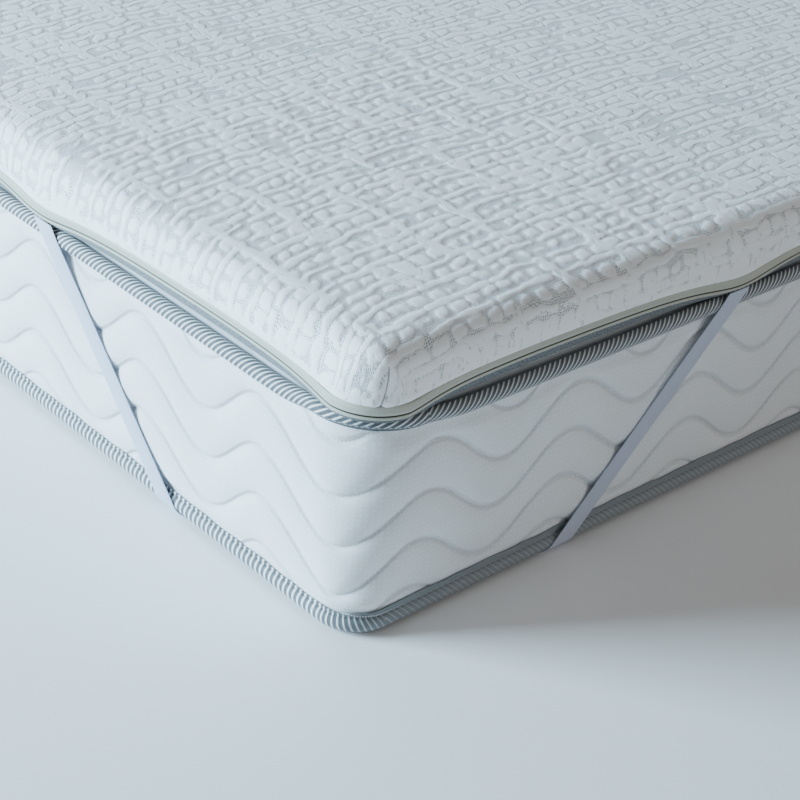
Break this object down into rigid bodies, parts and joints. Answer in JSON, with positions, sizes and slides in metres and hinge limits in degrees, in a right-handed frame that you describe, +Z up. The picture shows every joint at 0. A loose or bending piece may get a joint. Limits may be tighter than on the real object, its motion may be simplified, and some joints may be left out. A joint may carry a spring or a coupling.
{
  "type": "mattress topper on a mattress",
  "caption": "Zipped mattress topper pad lying on a tape-edged mattress, held at each corner by a diagonal elastic band passing under the mattress.",
  "frame": {"origin": "centre of the footprint on the surface the mattress stands on", "axes": "+Z up, +Y along the mattress's length, +X across its width; the pictured corner is at +X, -Y"},
  "size_m": [1.2152, 2.0152, 0.3036],
  "materials": {
    "cover_knit": "white double jacquard knit with raised blisters on an open knitted ground",
    "zip_tape": "beige woven zip tape with a thin dark coil line",
    "base_melange": "grey speckled melange knit",
    "border_fabric": "white dotted knit, quilted in waves on the border and smooth on the panels",
    "tape_stripe": "grey and white diagonally striped woven binding tape",
    "elastic": "flat white woven elastic"
  },
  "bodies": {
    "root": {"mattress_body": "border_fabric", "tape_top": "tape_stripe", "tape_bottom": "tape_stripe", "topper_base": "base_melange", "topper_pad": "cover_knit", "zip_tape": "zip_tape", "strap_front_right": "elastic", "strap_back_right": "elastic", "strap_back_left": "elastic", "strap_front_left": "elastic"}
  },
  "joints": []
}
